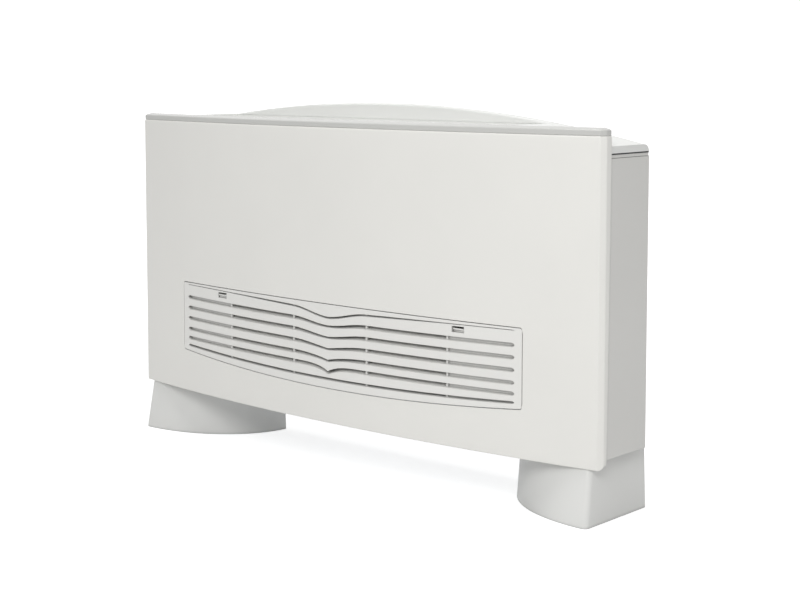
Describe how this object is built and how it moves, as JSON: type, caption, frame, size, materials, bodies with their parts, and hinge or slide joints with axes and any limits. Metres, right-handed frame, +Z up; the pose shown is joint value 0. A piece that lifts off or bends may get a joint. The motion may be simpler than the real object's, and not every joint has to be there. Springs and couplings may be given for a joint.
{
  "type": "floor-standing fan coil unit",
  "caption": "Low fan coil unit on flared feet with a bowed front panel, wavy-slatted intake grille, louvred outlet under a vaulted roof, coil, drain tray and blower inside.",
  "frame": {"origin": "middle of the footprint on the floor", "axes": "+X along the width to the right seen from the front, +Y from the bowed front towards the wall, +Z up"},
  "size_m": [1.03, 0.185, 0.6119],
  "materials": {
    "panel_paint": "satin powder coat",
    "trim_plastic": "fine satin",
    "foot_plastic": "fine satin",
    "zinc_sheet": "zinc coated",
    "bright_steel": "ground",
    "dark_plastic": "moulded",
    "inner_plastic": "moulded",
    "motor_paint": "satin",
    "grommet_rubber": "matt",
    "fin_aluminium": "mill",
    "copper_alloy": "drawn",
    "filter_cloth": "woven",
    "terminal_plastic": "moulded"
  },
  "bodies": {
    "casing": {"back_plate": "zinc_sheet", "chassis_side_left": "zinc_sheet", "chassis_side_right": "zinc_sheet", "bottom_plate": "zinc_sheet", "fan_deck": "zinc_sheet", "intake_frame": "zinc_sheet", "side_panel_left": "panel_paint", "side_panel_right": "panel_paint", "front_panel": "panel_paint", "top_rim": "trim_plastic", "outlet_roof": "trim_plastic", "end_cap_left": "trim_plastic", "end_cap_right": "trim_plastic", "outlet_deck": "trim_plastic", "foot_left": "foot_plastic", "foot_right": "foot_plastic", "leg_left": "zinc_sheet", "leg_right": "zinc_sheet", "leg_bolts": "bright_steel", "fan_scroll_left": "dark_plastic", "fan_scroll_right": "dark_plastic", "bearing_left": "bright_steel", "bearing_right": "bright_steel", "fan_motor": "motor_paint", "motor_grommets": "grommet_rubber", "motor_cradle": "zinc_sheet", "coil_fins": "fin_aluminium", "coil_end_plates": "zinc_sheet", "coil_bends": "copper_alloy", "supply_header": "copper_alloy", "return_header": "copper_alloy", "air_vent": "copper_alloy", "drain_tray": "inner_plastic", "drain_spout": "inner_plastic", "control_box": "inner_plastic", "terminal_block": "terminal_plastic", "cable_gland": "dark_plastic"},
    "louvre_front": {"louvre_1": "trim_plastic"},
    "louvre_middle": {"louvre_2": "trim_plastic"},
    "louvre_rear": {"louvre_3": "trim_plastic"},
    "grille": {"intake_grille": "trim_plastic", "filter_frame": "dark_plastic", "filter_mesh": "filter_cloth"},
    "latch_left": {"grille_latch_left": "trim_plastic"},
    "latch_right": {"grille_latch_right": "trim_plastic"},
    "rotor": {"fan_wheel_left": "dark_plastic", "fan_wheel_right": "dark_plastic", "fan_shaft": "bright_steel"}
  },
  "joints": [
    {"name": "louvre_front_tilt", "type": "hinge", "parent": "casing", "child": "louvre_front", "pos_m": [0, -0.04113, 0.57], "axis": [-1, 0, 0], "range_deg": [0, 65]},
    {"name": "louvre_middle_tilt", "type": "hinge", "parent": "casing", "child": "louvre_middle", "pos_m": [0, -0.01128, 0.57], "axis": [-1, 0, 0], "range_deg": [0, 65]},
    {"name": "louvre_rear_tilt", "type": "hinge", "parent": "casing", "child": "louvre_rear", "pos_m": [0, 0.01858, 0.57], "axis": [-1, 0, 0], "range_deg": [0, 65]},
    {"name": "grille_pull", "type": "slide", "parent": "casing", "child": "grille", "axis": [0, -1, 0], "range_m": [0, 0.04]},
    {"name": "latch_left_press", "type": "slide", "parent": "grille", "child": "latch_left", "axis": [0, 0, -1], "range_m": [0, 0.004], "stiffness_N_per_m": 400},
    {"name": "latch_right_press", "type": "slide", "parent": "grille", "child": "latch_right", "axis": [0, 0, -1], "range_m": [0, 0.004], "stiffness_N_per_m": 400},
    {"name": "fan_spin", "type": "hinge", "parent": "casing", "child": "rotor", "pos_m": [0, 0.0089, 0.205], "axis": [1, 0, 0], "continuous": true}
  ],
  "couplings": [
    {"joint": "louvre_middle_tilt", "follows": "louvre_front_tilt", "ratio": 1},
    {"joint": "louvre_rear_tilt", "follows": "louvre_front_tilt", "ratio": 1}
  ]
}
